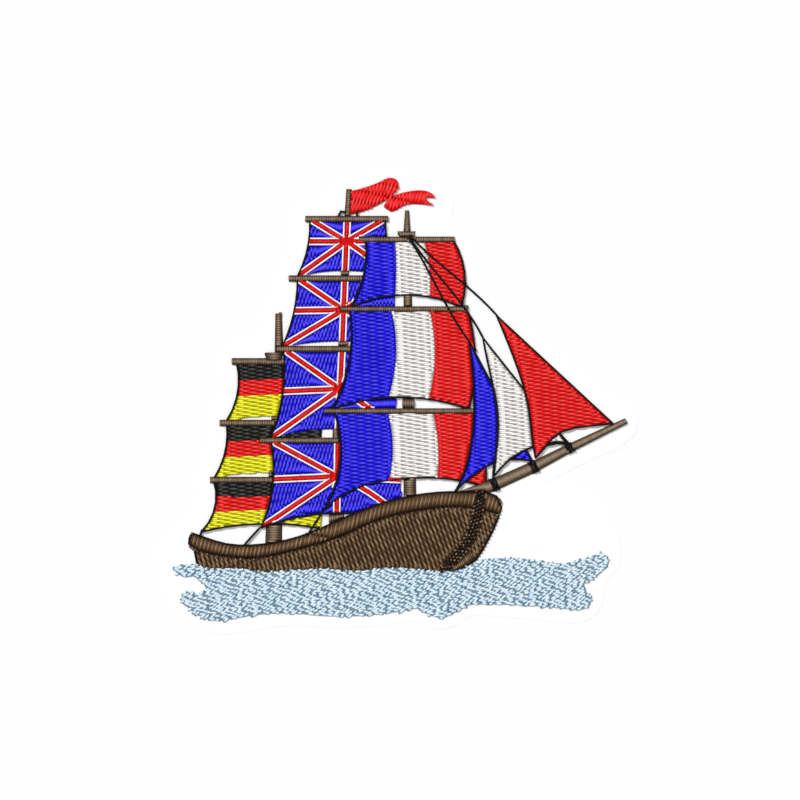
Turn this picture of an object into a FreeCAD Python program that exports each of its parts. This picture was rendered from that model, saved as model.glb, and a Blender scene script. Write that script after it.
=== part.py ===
import FreeCAD, Part
import math
import os
from collections import namedtuple

# A contour-cut cloth patch, machine-embroidered with a three-masted sailing ship.
# The patch lies face up: X runs to the bow, Y up the masts and Z out of the cloth, in
# millimetres. The origin is on the back of the cloth, at the middle of the embroidery.
# Every thread area is a slab of its own that stands on the cloth, and areas that meet lie
# side by side: what is sewn later hides what is sewn before.

# Thicknesses of the cloth and of each kind of stitching
CLOTH_THICKNESS = 0.5
FILL_HEIGHT = 0.45
WATER_HEIGHT = 0.4
SPAR_HEIGHT = 0.8
CROSS_HEIGHT = 0.65
RAIL_HEIGHT = 0.8
PENNANT_HEIGHT = 0.65
LINE_HEIGHT = 0.6

# Widths and stitch length of the sewn lines, and the smallest patch of thread still sewn
OUTLINE_WIDTH = 0.38
RIGGING_WIDTH = 0.32
STITCH_LENGTH = 2.4
MIN_PATCH = 0.12

# Bare cloth left round the embroidery, the radius that rounds the cut, and the rays and
# samples that find it
CLOTH_MARGIN = 2.0
CUT_ROUNDING = 3.0
CUT_RAYS = 96
CUT_SAMPLE = 0.8

# Masts and bowsprit as stations along their centre line, and the cross-trees on two masts
Station = namedtuple("Station", "x y width")
Bar = namedtuple("Bar", "aft fore y depth taper")
MIZZEN_MAST = [Station(-24.3, 17.3, 1.3), Station(-24.2, 9.4, 1.8), Station(-25.3, -29.0, 3.4)]
MAIN_MAST = [
    Station(-10.2, 42.0, 1.1),
    Station(-10.5, 37.1, 1.2),
    Station(-11.5, 11.4, 1.7),
    Station(-12.4, -6.6, 2.2),
    Station(-12.7, -26.0, 3.0),
]
FORE_MAST = [Station(1.4, 37.9, 0.8), Station(1.4, 33.9, 1.4), Station(2.0, -21.0, 2.6)]
BOWSPRIT = [
    Station(10.5, -20.0, 2.3),
    Station(18.9, -16.9, 2.5),
    Station(26.7, -13.4, 2.3),
    Station(34.0, -9.6, 1.8),
    Station(45.2, -4.2, 1.2),
]
MIZZEN_TREES = Bar(aft=2.9, fore=0.9, y=8.7, depth=1.2, taper=0.4)
FORE_TREES = Bar(aft=1.9, fore=1.7, y=33.2, depth=1.1, taper=0.35)
LASHING_LENGTH = 1.4
LASHING_OVERHANG = 0.12

# Yards: height of the centre line, reach to each side of the mast, thickness
Yard = namedtuple("Yard", "y aft fore width")
MIZZEN_YARDS = [
    Yard(y=7.7, aft=9.2, fore=8.8, width=1.4),
    Yard(y=-4.6, aft=11.5, fore=9.6, width=1.3),
    Yard(y=-16.0, aft=13.1, fore=10.0, width=1.3),
]
MAIN_YARDS = [
    Yard(y=36.2, aft=8.4, fore=8.1, width=1.3),
    Yard(y=24.3, aft=11.1, fore=11.1, width=1.3),
    Yard(y=10.2, aft=13.3, fore=13.1, width=1.3),
    Yard(y=-8.1, aft=15.6, fore=14.6, width=1.2),
]
FORE_YARDS = [
    Yard(y=32.1, aft=9.6, fore=9.4, width=1.2),
    Yard(y=18.2, aft=13.5, fore=12.1, width=1.1),
    Yard(y=-2.2, aft=17.0, fore=12.8, width=1.1),
]

# The square sails of each mast, one for each yard, from the top
MIZZEN_NAMES = ["mizzen_topgallant", "mizzen_topsail", "mizzen_course"]
MAIN_NAMES = ["main_royal", "main_topgallant", "main_topsail", "main_course"]
FORE_NAMES = ["fore_topgallant", "fore_topsail", "fore_course"]

# Square sails hang from one yard to the next: the insets of the head from the ends of its
# yard, the insets of the foot from the ends of the yard below, how far each side edge bows
# to the right at its middle, and how far the foot arches up
Sail = namedtuple("Sail", "head_aft head_fore foot_aft foot_fore aft_bow fore_bow foot_rise")
FOOT_LAP = 0.2
MIZZEN_SAILS = [
    Sail(0.7, 0.6, 1.4, 0.6, aft_bow=1.3, fore_bow=-0.4, foot_rise=0.9),
    Sail(1.4, 0.5, 0.9, 0.6, aft_bow=1.0, fore_bow=-0.3, foot_rise=1.1),
]
MAIN_SAILS = [
    Sail(0.9, 0.6, 1.6, 1.7, aft_bow=0.8, fore_bow=-0.2, foot_rise=1.1),
    Sail(1.6, 1.1, 1.3, 1.6, aft_bow=0.8, fore_bow=-0.4, foot_rise=1.1),
    Sail(1.5, 1.6, 2.1, 2.0, aft_bow=1.2, fore_bow=-1.0, foot_rise=1.9),
]
FORE_SAILS = [
    Sail(1.3, 0.2, 2.2, 1.4, aft_bow=1.1, fore_bow=1.5, foot_rise=2.5),
    Sail(1.8, 0.2, 1.7, 0.8, aft_bow=1.7, fore_bow=1.4, foot_rise=2.4),
]

# The lowest sail of each mast, the course, hangs free: its two lower corners are places
Course = namedtuple("Course", "head_aft head_fore foot_aft foot_fore aft_bow fore_bow foot_line")
MIZZEN_COURSE = Course(0.7, 0.5, (-39.8, -26.4), (-15.9, -25.7), 1.6, 0.2, [(-29.0, -24.8)])
MAIN_COURSE = Course(2.2, 1.2, (-27.8, -25.6), (0.9, -24.5), 1.4, -0.8, [(-15.8, -22.8)])
FORE_COURSE = Course(
    2.0, 0.1, (-15.3, -22.2), (17.2, -17.4), 2.3, 0.9, [(-7.2, -17.1), (0.0, -15.8), (7.4, -15.6)]
)

# Colour fields. Mizzen sails are striped across: heights of the two seams below the yard on
# the aft side. Fore sails are striped down: places of the two seams from the mast at the
# head and the foot, and their bow to the right.
Band = namedtuple("Band", "upper lower")
MIZZEN_BANDS = [Band(3.9, 7.1), Band(3.8, 7.1), Band(3.6, 6.4)]
BAND_RISE = 1.0
Seam = namedtuple("Seam", "head foot bow")
FORE_SEAMS = [
    (Seam(-2.5, -2.8, 0.4), Seam(3.4, 4.2, 0.7)),
    (Seam(-3.4, -5.0, 1.7), Seam(4.3, 3.3, 1.5)),
    (Seam(-4.3, -6.4, 1.9), Seam(4.8, 4.2, 1.3)),
]

# Main sails carry eight arms from a centre on the mast: depth of the centre below the yard,
# droop of the level arms at their ends, upward bow of the lower fore arm, arm widths
Cross = namedtuple("Cross", "depth droop bow")
MAIN_CROSSES = [
    Cross(4.5, 0.0, 0.3),
    Cross(6.3, 0.2, 0.5),
    Cross(8.0, 0.6, 0.8),
    Cross(7.2, 0.7, 1.2),
]
ARM_WIDTH = 0.85
ARM_EDGING = 0.36
CORNER_ARM_WIDTH = 0.8

# Staysails before the fore mast: three corners and the points of the two curved edges
Jib = namedtuple("Jib", "head leech tack foot clew")
INNER_JIB = Jib(
    head=(13.9, 11.6),
    leech=[(14.8, -0.8), (14.1, -9.6), (12.2, -16.1)],
    tack=(11.0, -18.4),
    foot=[(13.3, -16.1), (15.8, -14.3), (18.8, -12.5), (22.6, -11.9)],
    clew=(26.4, -12.1),
)
MIDDLE_JIB = Jib(
    head=(16.6, 12.4),
    leech=[(17.9, 5.8), (19.6, -4.2), (19.0, -12.6)],
    tack=(18.8, -15.2),
    foot=[(19.7, -14.2), (21.7, -12.1), (26.3, -9.5)],
    clew=(33.3, -8.6),
)
OUTER_JIB = Jib(
    head=(19.3, 16.9),
    leech=[(22.6, 8.8), (25.8, -2.2), (26.6, -9.0)],
    tack=(27.1, -11.6),
    foot=[(28.1, -10.6), (31.2, -7.0), (35.0, -5.6)],
    clew=(42.6, -4.7),
)

# Hull: the rail between its upper and lower edge, the side below it, and the stem band
RAIL_TOP = [
    (-41.7, -26.6),
    (-40.0, -27.2),
    (-34.8, -28.8),
    (-28.7, -29.0),
    (-20.0, -27.3),
    (-10.5, -23.3),
    (0.0, -19.7),
    (9.8, -18.4),
    (15.5, -18.4),
    (18.6, -18.8),
    (20.0, -20.0),
    (20.3, -21.4),
]
RAIL_BOTTOM = [
    (-40.5, -30.0),
    (-34.8, -31.2),
    (-28.7, -31.5),
    (-22.0, -30.2),
    (-12.8, -27.5),
    (-3.6, -23.7),
    (3.0, -22.1),
    (9.2, -21.3),
    (14.6, -21.5),
    (19.9, -22.8),
]
RAIL_STERN = [(-42.3, -27.6), (-41.9, -29.5)]
HULL_STERN = [(-41.1, -30.2), (-40.8, -32.0), (-39.6, -35.6)]
HULL_BOW = [
    (20.3, -21.4),
    (19.7, -23.4),
    (18.3, -26.7),
    (16.7, -29.7),
    (15.1, -32.1),
    (12.6, -33.5),
    (9.0, -35.2),
]
STEM_LINE = [(16.2, -18.3), (15.6, -22.6), (14.6, -26.2), (12.9, -29.3), (9.6, -33.3), (8.7, -35.2)]
STEM_WIDTH = 2.1

# Water: one closed outline, from the aft tip along the waterline and back below. Every other
# point is the middle of an arc.
WATER = [
    (-45.5, -33.6),
    (-41.4, -32.9),
    (-38.0, -33.9),
    (-35.0, -33.6),
    (-27.5, -34.5),
    (-19.0, -33.9),
    (-14.0, -33.7),
    (-9.0, -34.2),
    (-5.0, -33.7),
    (0.0, -33.6),
    (8.0, -34.4),
    (15.3, -32.7),
    (17.0, -31.8),
    (24.8, -31.8),
    (31.3, -32.7),
    (35.3, -32.2),
    (39.3, -30.8),
    (41.4, -31.4),
    (41.6, -32.9),
    (39.6, -35.0),
    (36.8, -36.7),
    (37.2, -38.2),
    (38.3, -39.3),
    (38.0, -40.7),
    (35.6, -41.9),
    (25.8, -41.1),
    (14.2, -40.8),
    (11.5, -42.2),
    (8.3, -43.7),
    (5.5, -42.8),
    (3.3, -41.6),
    (-4.0, -42.8),
    (-16.6, -43.1),
    (-26.5, -42.7),
    (-34.0, -43.9),
    (-39.5, -43.4),
    (-42.6, -41.3),
    (-43.8, -39.6),
    (-42.4, -38.2),
    (-40.6, -38.6),
    (-38.9, -37.9),
    (-39.4, -36.4),
    (-41.5, -35.2),
    (-44.4, -34.8),
]

# Pennant at the main topmast, in two lengths that fold behind each other
PENNANT = [
    (-9.9, 41.8),
    (-6.4, 42.7),
    (-3.1, 44.1),
    (-1.8, 44.4),
    (-0.9, 44.1),
    (-0.4, 43.3),
    (-0.8, 41.7),
    (-3.9, 39.3),
    (-9.9, 37.1),
]
TAIL_TOP = [(-3.1, 38.6), (-2.1, 40.3), (0.8, 41.5), (3.3, 41.9), (5.9, 41.5), (7.0, 40.5)]
TAIL_NOTCH = (4.5, 40.5)
TAIL_BOTTOM = [(6.6, 39.0), (3.3, 39.2), (0.8, 38.9), (-0.9, 37.9), (-1.8, 37.7)]

# Stays, sheets and ties, each a line of black running stitches
RIGGING = [
    [(2.1, 32.7), (5.5, 29.4), (12.7, 23.3), (19.3, 17.0)],
    [(1.9, 32.6), (5.9, 27.1), (10.5, 21.5), (16.6, 12.4)],
    [(1.7, 32.5), (5.5, 26.1), (9.2, 19.1), (13.9, 11.6)],
    [(-28.2, -25.7), (-31.0, -28.8)],
    [(-39.7, -26.2), (-40.0, -27.2)],
    [(-15.4, -22.2), (-18.5, -27.0)],
    [(18.8, -12.5), (18.6, -15.2)],
    [(31.9, -6.7), (33.8, -8.7)],
    [(29.4, -9.1), (31.0, -8.7), (33.3, -8.8)],
    [(-12.2, 37.0), (-11.9, 37.6), (-11.0, 37.6)],
    [(-8.6, 37.6), (-8.6, 37.0)],
]


def point(xy):
    """A point of the cloth's plane from its two coordinates."""
    return FreeCAD.Vector(xy[0], xy[1], 0)


def line(start, end):
    """A straight edge."""
    return Part.LineSegment(point(start), point(end)).toShape()


def bowed(start, end, right=0.0, up=0.0):
    """An edge whose middle stands off the straight line by the given amounts."""
    if abs(right) + abs(up) < 0.01:
        return line(start, end)
    middle = ((start[0] + end[0]) / 2 + right, (start[1] + end[1]) / 2 + up)
    return Part.Arc(point(start), point(middle), point(end)).toShape()


def smooth(points):
    """A smooth curve through all the points."""
    if len(points) == 2:
        return line(points[0], points[1])
    curve = Part.BSplineCurve()
    curve.interpolate([point(xy) for xy in points])
    return curve.toShape()


def arcs(points):
    """A chain of arcs: each runs through three points and starts where the last one ends."""
    chain = []
    for start, middle, end in zip(points[0::2], points[1::2], points[2::2]):
        chain.append(Part.Arc(point(start), point(middle), point(end)).toShape())
    return chain


def area(edges):
    """The flat area inside a closed run of edges."""
    return Part.Face(Part.Wire(edges))


def polygon(points):
    """The flat area inside straight edges from point to point."""
    return area([line(a, b) for a, b in zip(points, points[1:] + points[:1])])


def joined(areas):
    """One shape from several areas."""
    if len(areas) == 1:
        return areas[0]
    return areas[0].fuse(areas[1:]).removeSplitter()


def sewn_line(edge, width):
    """A narrow strip of straight stitches that is centred on an edge, with square ends."""
    straight = edge.Curve.TypeId == "Part::GeomLine"
    count = 1 if straight else max(2, round(edge.Length / STITCH_LENGTH))
    first, last = edge.FirstParameter, edge.LastParameter
    left, right = [], []
    for step in range(count + 1):
        at = first + (last - first) * step / count
        spot = edge.valueAt(at)
        along = edge.tangentAt(at)
        side = FreeCAD.Vector(-along.y, along.x, 0) * (width / 2)
        left.append((spot + side)[:2])
        right.append((spot - side)[:2])
    return polygon(left + right[::-1])


def spar(stations):
    """A tapered spar: straight sides through the widths at its stations."""
    left, right = [], []
    for index, here in enumerate(stations):
        before = stations[max(index - 1, 0)]
        after = stations[min(index + 1, len(stations) - 1)]
        along = point((after.x - before.x, after.y - before.y)).normalize()
        side = FreeCAD.Vector(-along.y, along.x, 0) * (here.width / 2)
        centre = point((here.x, here.y))
        left.append((centre + side)[:2])
        right.append((centre - side)[:2])
    return polygon(left + right[::-1])


def centre_x(mast, y):
    """Where the centre line of a mast is at a height."""
    for upper, lower in zip(mast, mast[1:]):
        if y >= lower.y:
            break
    share = (upper.y - y) / (upper.y - lower.y)
    return upper.x + (lower.x - upper.x) * share


def yard_ends(mast, yard):
    """The two ends of a yard along X."""
    centre = centre_x(mast, yard.y)
    return centre - yard.aft, centre + yard.fore


def yard_area(mast, yard):
    """A yard: a level bar across its mast."""
    aft, fore = yard_ends(mast, yard)
    low, high = yard.y - yard.width / 2, yard.y + yard.width / 2
    return polygon([(aft, low), (fore, low), (fore, high), (aft, high)])


def trees_area(mast, bar):
    """Cross-trees: a short bar across the mast, narrower below than above."""
    centre = centre_x(mast, bar.y)
    low, high = bar.y - bar.depth / 2, bar.y + bar.depth / 2
    aft, fore = centre - bar.aft, centre + bar.fore
    return polygon([(aft + bar.taper, low), (fore - bar.taper, low), (fore, high), (aft, high)])


def sail_edges(mast, yard, below, sail):
    """The four edges of a square sail that hangs between two yards."""
    aft, fore = yard_ends(mast, yard)
    low_aft, low_fore = yard_ends(mast, below)
    foot_y = below.y + below.width / 2 - FOOT_LAP
    head_a, head_f = (aft + sail.head_aft, yard.y), (fore - sail.head_fore, yard.y)
    foot_a, foot_f = (low_aft + sail.foot_aft, foot_y), (low_fore - sail.foot_fore, foot_y)
    return {
        "head": line(head_a, head_f),
        "fore": bowed(head_f, foot_f, right=sail.fore_bow),
        "foot": bowed(foot_f, foot_a, up=sail.foot_rise),
        "aft": bowed(foot_a, head_a, right=sail.aft_bow),
    }


def course_edges(mast, yard, course):
    """The four edges of the lowest sail, whose lower corners are given places."""
    aft, fore = yard_ends(mast, yard)
    head_a, head_f = (aft + course.head_aft, yard.y), (fore - course.head_fore, yard.y)
    foot = [course.foot_aft] + course.foot_line + [course.foot_fore]
    return {
        "head": line(head_a, head_f),
        "fore": bowed(head_f, course.foot_fore, right=course.fore_bow),
        "foot": smooth(foot[::-1]),
        "aft": bowed(course.foot_aft, head_a, right=course.aft_bow),
    }


def jib_edges(jib):
    """The three edges of a staysail: curved leech and foot, straight luff on its stay."""
    return {
        "leech": smooth([jib.head] + jib.leech + [jib.tack]),
        "foot": smooth([jib.tack] + jib.foot + [jib.clew]),
        "luff": line(jib.clew, jib.head),
    }


def right_of(edge, limit_x):
    """Everything between an edge that runs downwards and a limit to its right."""
    top, bottom = edge.Vertexes[0].Point, edge.Vertexes[-1].Point
    corners = [(limit_x, bottom.y), (limit_x, top.y)]
    return area([edge, line(bottom, corners[0]), line(*corners), line(corners[1], top)])


def below_of(start, end, limit_y):
    """Everything between a straight seam and a limit below it."""
    return polygon([start, end, (end[0], limit_y), (start[0], limit_y)])


def seam_edge(mast, yard, low_y, seam):
    """The edge between two colours that run down a sail."""
    head = (centre_x(mast, yard.y) + seam.head, yard.y)
    foot = (centre_x(mast, low_y) + seam.foot, low_y)
    return bowed(head, foot, right=seam.bow)


def cross_arms(mast, yard, edges, cross, grow):
    """Eight arms from the centre of a sail to its corners and the middles of its edges."""
    y = yard.y - cross.depth
    centre = (centre_x(mast, y), y)
    low_y = edges["foot"].BoundBox.YMin
    head_a, head_f = edges["head"].Vertexes[0].Point, edges["head"].Vertexes[-1].Point
    foot_f, foot_a = edges["foot"].Vertexes[0].Point, edges["foot"].Vertexes[-1].Point
    level_y = y - cross.droop
    upright = [(centre_x(mast, yard.y), yard.y), (centre_x(mast, low_y), low_y)]
    level = [(edges["aft"].BoundBox.XMin, level_y), (edges["fore"].BoundBox.XMax, level_y)]
    arms = [sewn_line(line(centre, end), ARM_WIDTH + grow) for end in upright + level]
    corners = [head_a, head_f, foot_a]
    arms += [sewn_line(line(centre, end), CORNER_ARM_WIDTH + grow) for end in corners]
    arms.append(sewn_line(bowed(centre, foot_f, up=cross.bow), CORNER_ARM_WIDTH + grow))
    return joined(arms)


# Every thread area in the order in which it hides the next one
Layer = namedtuple("Layer", "name area height")
layers = []


def lay(name, shape, height):
    """Put an area under all the areas laid before it."""
    layers.append(Layer(name, shape, height))


def lay_lines(name, edges, width):
    """Lay sewn lines along edges, as one area."""
    lay(name, joined([sewn_line(edge, width) for edge in edges]), LINE_HEIGHT)


def lay_hull():
    """The stem band, the outline, the rail, the water before the hull, and the hull's side."""
    rail_top, rail_bottom = smooth(RAIL_TOP), smooth(RAIL_BOTTOM)
    stern = smooth([RAIL_TOP[0]] + RAIL_STERN + [RAIL_BOTTOM[0]])
    bow, transom = smooth(HULL_BOW), smooth(HULL_STERN)
    bow_cap = line(RAIL_TOP[-1], RAIL_BOTTOM[-1])
    lay("stem_band", sewn_line(smooth(STEM_LINE), STEM_WIDTH).cut(water_area()), RAIL_HEIGHT)
    outline = [rail_top, rail_bottom, stern, bow, transom]
    lines = joined([sewn_line(edge, OUTLINE_WIDTH) for edge in outline])
    lay("hull_outline", lines.cut(water_area()), LINE_HEIGHT)
    lay("water", water_area(), WATER_HEIGHT)
    lay("hull_rail", area([rail_top, bow_cap, rail_bottom, stern]), RAIL_HEIGHT)
    side = area([
        rail_top,
        bow,
        line(HULL_BOW[-1], HULL_STERN[-1]),
        transom,
        line(HULL_STERN[0], RAIL_BOTTOM[0]),
        stern,
    ])
    lay("hull_side", side, FILL_HEIGHT)


def water_area():
    """The water, inside one closed chain of arcs."""
    return area(arcs(WATER + WATER[:1]))


def lay_jibs():
    """The three staysails, the outer one on top, each with its sewn outline."""
    jibs = [("outer_jib", OUTER_JIB), ("middle_jib", MIDDLE_JIB), ("inner_jib", INNER_JIB)]
    for name, jib in jibs:
        edges = jib_edges(jib)
        lay_lines("jib_outline", edges.values(), OUTLINE_WIDTH)
        lay(name, area(list(edges.values())), FILL_HEIGHT)


def lay_bowsprit():
    """The bowsprit, with a lashing across it at each inner station."""
    for before, here in zip(BOWSPRIT, BOWSPRIT[1:-1]):
        along = point((here.x - before.x, here.y - before.y)).normalize() * (LASHING_LENGTH / 2)
        ends = [(here.x - along.x, here.y - along.y), (here.x + along.x, here.y + along.y)]
        width = here.width + 2 * LASHING_OVERHANG
        lay("bowsprit_lashings", sewn_line(line(*ends), width), SPAR_HEIGHT)
    lay("bowsprit", spar(BOWSPRIT), SPAR_HEIGHT)


def lay_yards(prefix, mast, yards):
    """The yards of one mast, numbered from the top."""
    for number, yard in enumerate(yards, 1):
        lay(f"{prefix}_yard_{number}", yard_area(mast, yard), SPAR_HEIGHT)


def lay_fore_sails():
    """Fore mast: three sails in blue, white and red, striped down."""
    lay("fore_mast", trees_area(FORE_MAST, FORE_TREES), SPAR_HEIGHT)
    lay_yards("fore", FORE_MAST, FORE_YARDS)
    sails = [
        sail_edges(FORE_MAST, upper, lower, sail)
        for upper, lower, sail in zip(FORE_YARDS, FORE_YARDS[1:], FORE_SAILS)
    ]
    sails.append(course_edges(FORE_MAST, FORE_YARDS[-1], FORE_COURSE))
    for edges in sails:
        lay_lines("fore_outline", [edges[side] for side in ("aft", "foot", "fore")], OUTLINE_WIDTH)
    for name, yard, edges, seams in zip(FORE_NAMES, FORE_YARDS, sails, FORE_SEAMS):
        sail = area(list(edges.values()))
        low_y, limit_x = sail.BoundBox.YMin, sail.BoundBox.XMax
        cuts = [seam_edge(FORE_MAST, yard, low_y, seam) for seam in seams]
        white, red = [right_of(cut, limit_x) for cut in cuts]
        lay(f"{name}_red", sail.common(red), FILL_HEIGHT)
        lay(f"{name}_white", sail.common(white), FILL_HEIGHT)
        lay(f"{name}_blue", sail, FILL_HEIGHT)
    lay("fore_mast", spar(FORE_MAST), SPAR_HEIGHT)


def lay_main_sails():
    """Main mast: four blue sails, each with a red cross of eight arms edged in white."""
    lay_yards("main", MAIN_MAST, MAIN_YARDS)
    sails = [
        sail_edges(MAIN_MAST, upper, lower, sail)
        for upper, lower, sail in zip(MAIN_YARDS, MAIN_YARDS[1:], MAIN_SAILS)
    ]
    sails.append(course_edges(MAIN_MAST, MAIN_YARDS[-1], MAIN_COURSE))
    outlined = [edges["aft"] for edges in sails] + [sails[0]["fore"], sails[-1]["foot"]]
    for edge in outlined:
        lay_lines("main_outline", [edge], OUTLINE_WIDTH)
    for name, yard, edges, cross in zip(MAIN_NAMES, MAIN_YARDS, sails, MAIN_CROSSES):
        sail = area(list(edges.values()))
        red = cross_arms(MAIN_MAST, yard, edges, cross, grow=0)
        white = cross_arms(MAIN_MAST, yard, edges, cross, grow=2 * ARM_EDGING)
        lay(f"{name}_red", sail.common(red), CROSS_HEIGHT)
        lay(f"{name}_white", sail.common(white), CROSS_HEIGHT)
        lay(f"{name}_blue", sail, FILL_HEIGHT)
    lay("main_mast", spar(MAIN_MAST), SPAR_HEIGHT)


def lay_pennant():
    """The pennant at the main topmast, and its forked tail."""
    tail_top, tail_bottom = smooth(TAIL_TOP), smooth(TAIL_BOTTOM)
    fork = [line(TAIL_TOP[-1], TAIL_NOTCH), line(TAIL_NOTCH, TAIL_BOTTOM[0])]
    tail = area([tail_top] + fork + [tail_bottom, line(TAIL_BOTTOM[-1], TAIL_TOP[0])])
    lay("pennant", tail, PENNANT_HEIGHT)
    hoist = line(PENNANT[-1], PENNANT[0])
    lay("pennant", area(arcs(PENNANT) + [hoist]), PENNANT_HEIGHT)


def lay_mizzen_sails():
    """Mizzen mast: three sails in black, red and yellow, striped across."""
    lay("mizzen_mast", trees_area(MIZZEN_MAST, MIZZEN_TREES), SPAR_HEIGHT)
    lay_yards("mizzen", MIZZEN_MAST, MIZZEN_YARDS)
    sails = [
        sail_edges(MIZZEN_MAST, upper, lower, sail)
        for upper, lower, sail in zip(MIZZEN_YARDS, MIZZEN_YARDS[1:], MIZZEN_SAILS)
    ]
    sails.append(course_edges(MIZZEN_MAST, MIZZEN_YARDS[-1], MIZZEN_COURSE))
    for edge in [edges["aft"] for edges in sails] + [sails[-1]["foot"]]:
        lay_lines("mizzen_outline", [edge], OUTLINE_WIDTH)
    for name, yard, edges, band in zip(MIZZEN_NAMES, MIZZEN_YARDS, sails, MIZZEN_BANDS):
        sail = area(list(edges.values()))
        box = sail.BoundBox
        red, yellow = [
            below_of((box.XMin, yard.y - depth), (box.XMax, yard.y - depth + BAND_RISE), box.YMin)
            for depth in band
        ]
        lay(f"{name}_yellow", sail.common(yellow), FILL_HEIGHT)
        lay(f"{name}_red", sail.common(red), FILL_HEIGHT)
        lay(f"{name}_black", sail, FILL_HEIGHT)
    lay("mizzen_mast", spar(MIZZEN_MAST), SPAR_HEIGHT)


def lay_everything():
    """The whole embroidery, from what lies on top to what is hidden most."""
    lay_lines("rigging_lines", [smooth(points) for points in RIGGING], RIGGING_WIDTH)
    lay_hull()
    lay_jibs()
    lay_bowsprit()
    lay_fore_sails()
    lay_main_sails()
    lay_pennant()
    lay_mizzen_sails()


def cut_outline():
    """The cloth's outline, swept round the middle: each ray ends where it leaves the last of
    the discs that stand on every point of the embroidery's edges, less the rounding."""
    edge_points = []
    for layer in layers:
        for face in layer.area.Faces:
            spots = face.OuterWire.discretize(Distance=CUT_SAMPLE)
            edge_points += [(spot.x, spot.y) for spot in spots]
    disc = CLOTH_MARGIN + CUT_ROUNDING
    corners = []
    for step in range(CUT_RAYS):
        turn = 2 * math.pi * step / CUT_RAYS
        ray_x, ray_y = math.cos(turn), math.sin(turn)
        reach = 0.0
        for x, y in edge_points:
            along, aside = x * ray_x + y * ray_y, x * ray_y - y * ray_x
            if along > 0 and abs(aside) < disc:
                reach = max(reach, along + math.sqrt(disc**2 - aside**2))
        reach -= CUT_ROUNDING
        corners.append((reach * ray_x, reach * ray_y))
    return area(arcs(corners + corners[:1]))


def visible(index):
    """What is left of a layer beside the layers that hide it, without the smallest bits."""
    layer = layers[index]
    box = layer.area.BoundBox
    above = [other.area for other in layers[:index] if other.area.BoundBox.intersect(box)]
    shape = layer.area.cut(above) if above else layer.area
    return [face for face in shape.Faces if face.Area > MIN_PATCH]


def build():
    """All the pieces: a name and a shape each."""
    lay_everything()
    pieces = {"ground_cloth": [cut_outline().extrude(FreeCAD.Vector(0, 0, CLOTH_THICKNESS))]}
    for index, layer in enumerate(layers):
        for face in visible(index):
            slab = face.extrude(FreeCAD.Vector(0, 0, layer.height))
            slab.translate(FreeCAD.Vector(0, 0, CLOTH_THICKNESS))
            pieces.setdefault(layer.name, []).append(slab)
    return pieces


os.makedirs("parts", exist_ok=True)
for name, solids in build().items():
    shape = solids[0] if len(solids) == 1 else Part.makeCompound(solids)
    shape.exportStep(f"parts/{name}.step")
    print(f"{name}: {len(solids)} solids, {shape.Volume:.2f} mm3")
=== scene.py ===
# %% [markdown]
# # An embroidered sailing ship
# The real thing is a machine embroidery on white cloth, cut out as a patch that lies flat and is
# seen from straight above. Nearly everything that shows is thread: more than six thousand stitches
# in eight colours. A photograph of the thread would look flat from the side, and a bump map would
# leave the edges of the sails smooth. So here each stitch is a small solid of its own, sewn by
# rules like those of the machine: rows at an angle, a distance between rows and a length for the
# stitches. The frame holds the outline of each colour field, and that is the needle's map.

import math
from collections import namedtuple

import bpy
import numpy as np
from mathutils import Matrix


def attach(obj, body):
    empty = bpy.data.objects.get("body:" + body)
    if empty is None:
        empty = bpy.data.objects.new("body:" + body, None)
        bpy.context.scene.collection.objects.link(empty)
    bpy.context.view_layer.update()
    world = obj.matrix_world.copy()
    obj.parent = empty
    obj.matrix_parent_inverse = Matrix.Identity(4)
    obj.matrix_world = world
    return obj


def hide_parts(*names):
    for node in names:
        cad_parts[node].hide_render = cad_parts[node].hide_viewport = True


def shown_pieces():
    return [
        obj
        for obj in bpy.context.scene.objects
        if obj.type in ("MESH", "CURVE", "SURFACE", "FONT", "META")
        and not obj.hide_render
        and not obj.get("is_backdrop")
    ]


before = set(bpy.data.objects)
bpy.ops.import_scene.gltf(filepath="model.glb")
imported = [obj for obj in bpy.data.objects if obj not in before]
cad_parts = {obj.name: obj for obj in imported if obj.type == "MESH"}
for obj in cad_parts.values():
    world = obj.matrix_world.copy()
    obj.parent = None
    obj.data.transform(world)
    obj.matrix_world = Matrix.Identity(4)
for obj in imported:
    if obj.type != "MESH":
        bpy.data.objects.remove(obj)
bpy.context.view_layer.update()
MM = 0.001
print("nodes in the frame:", len(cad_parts))


# %% [markdown]
# ## Camera
# The embroidery is seen square on from above, without perspective, and the picture's 800 pixels
# cover 160 mm of cloth. A long lens from two metres up gives that flat view. An orthographic
# camera would too, but a long lens also works when the camera is moved round to another side.

# %% Set the camera
PICTURE_WIDTH = 160 * MM
CAMERA_DISTANCE = 2.0
THREAD_LEVEL = 1 * MM
SENSOR_WIDTH = 36

camera_data = bpy.data.cameras.new("camera")
camera_data.sensor_width = SENSOR_WIDTH
camera_data.lens = SENSOR_WIDTH * CAMERA_DISTANCE / PICTURE_WIDTH
camera_data.clip_end = 20
camera = bpy.data.objects.new("camera", camera_data)
camera.location = (0, 0, CAMERA_DISTANCE + THREAD_LEVEL)
bpy.context.scene.collection.objects.link(camera)
bpy.context.scene.camera = camera
bpy.context.scene.view_settings.view_transform = "Standard"
print("lens in mm:", round(camera_data.lens))


# %% [markdown]
# ## Shader arithmetic
# A finish is written as a recipe of nodes. Adding Math nodes by hand makes long code, so a socket
# is wrapped in a small class whose operators add the node: `1 - mask * 0.5` then reads as it is
# meant. Every other node comes from one method, which takes the settings first, because a ramp or
# a Math node has to know its kind before its sockets are filled.

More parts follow.
